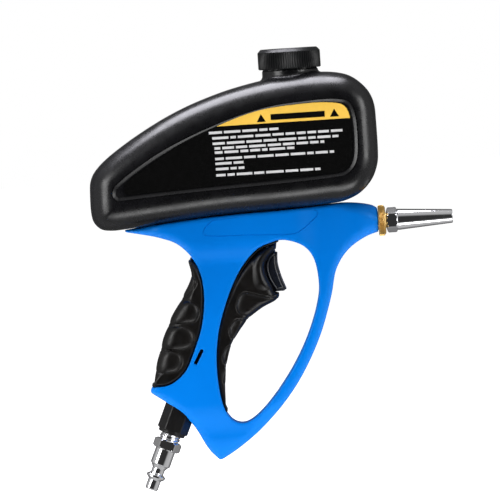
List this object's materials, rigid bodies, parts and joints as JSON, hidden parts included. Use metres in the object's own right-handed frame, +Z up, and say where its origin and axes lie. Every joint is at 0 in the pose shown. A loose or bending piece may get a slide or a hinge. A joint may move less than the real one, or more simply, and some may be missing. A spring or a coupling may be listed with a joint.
{
  "type": "gravity feed media blasting gun",
  "caption": "Hand-held air blasting gun with a hopper on top, a trigger in a closed hand guard, a threaded nozzle and a screw-in hose plug.",
  "frame": {"origin": "middle of the hand grip, on the axis of the air inlet", "axes": "+X forward along the nozzle, +Y to the gun's left, +Z up to the filler cap, with the blasting axis level"},
  "size_m": [0.234, 0.06, 0.2821],
  "materials": {
    "blue_shell": "moulded ABS, satin gloss",
    "hopper_black": "blow-moulded polyethylene, satin",
    "grip_rubber": "soft overmoulding, satin",
    "dark_plastic": "moulded nylon, satin",
    "polished_steel": "polished and plated steel",
    "plain_steel": "machined steel",
    "brass": "machined brass",
    "seal_rubber": "plain rubber",
    "cast_alloy": "die cast, matt",
    "air_hose": "reinforced hose",
    "label_print": "printed film"
  },
  "bodies": {
    "gun_body": {"body_shell_right": "blue_shell", "body_shell_left": "blue_shell", "grip_pad_rear": "grip_rubber", "grip_pad_front": "grip_rubber", "trigger_pin": "plain_steel", "air_inlet_fitting": "dark_plastic", "inlet_hose": "air_hose", "valve_body": "brass", "valve_spring": "plain_steel", "valve_end_cap": "brass", "stem_seal": "seal_rubber", "jet_hose": "air_hose", "air_jet": "brass", "mixing_block": "cast_alloy", "barrel": "brass", "knurled_ring": "brass", "hopper": "hopper_black", "hopper_gasket": "seal_rubber", "label_right": "label_print", "label_left": "label_print", "body_screw_tail": "plain_steel", "body_screw_beam": "plain_steel", "body_screw_front": "plain_steel", "body_screw_bow_top": "plain_steel", "body_screw_bow_low": "plain_steel", "body_screw_foot": "plain_steel"},
    "trigger_lever": {"trigger": "dark_plastic"},
    "stem": {"valve_stem": "plain_steel"},
    "cap_lifter": {"cap_liner": "seal_rubber"},
    "filler_cap": {"cap": "hopper_black"},
    "nozzle_carrier": {"nozzle_seal": "seal_rubber"},
    "nozzle_tube": {"nozzle": "polished_steel"},
    "hose_plug": {"air_plug": "polished_steel"}
  },
  "joints": [
    {"name": "trigger_pull", "type": "hinge", "parent": "gun_body", "child": "trigger_lever", "pos_m": [0.0435, 0, 0.0542], "axis": [0, 1, 0], "range_deg": [0, 12], "stiffness_Nm_per_rad": 0.2, "springref_deg": -17.19},
    {"name": "stem_travel", "type": "slide", "parent": "gun_body", "child": "stem", "axis": [-1, 0, 0], "range_m": [0, 0.0028], "deforming": ["valve_spring"]},
    {"name": "cap_lift", "type": "slide", "parent": "gun_body", "child": "cap_lifter", "axis": [0, 0, 1], "range_m": [0, 0.00635]},
    {"name": "cap_turn", "type": "hinge", "parent": "cap_lifter", "child": "filler_cap", "pos_m": [0.0649, 0, 0.1794], "axis": [0, 0, 1], "range_deg": [0, 540]},
    {"name": "nozzle_draw", "type": "slide", "parent": "gun_body", "child": "nozzle_carrier", "axis": [1, 0, 0], "range_m": [0, 0.00668]},
    {"name": "nozzle_turn", "type": "hinge", "parent": "nozzle_carrier", "child": "nozzle_tube", "pos_m": [0.1216, 0, 0.067], "axis": [1, 0, 0], "range_deg": [0, 1800]},
    {"name": "plug_out", "type": "slide", "parent": "gun_body", "child": "hose_plug", "axis": [-0.4002, 0, -0.9164], "range_m": [0, 0.025]}
  ],
  "couplings": [
    {"joint": "stem_travel", "follows": "trigger_pull", "m_per_rad": 0.0132},
    {"joint": "cap_lift", "follows": "cap_turn", "m_per_rad": 0.00067322},
    {"joint": "nozzle_turn", "follows": "nozzle_draw", "rad_per_m": 4699.5}
  ]
}
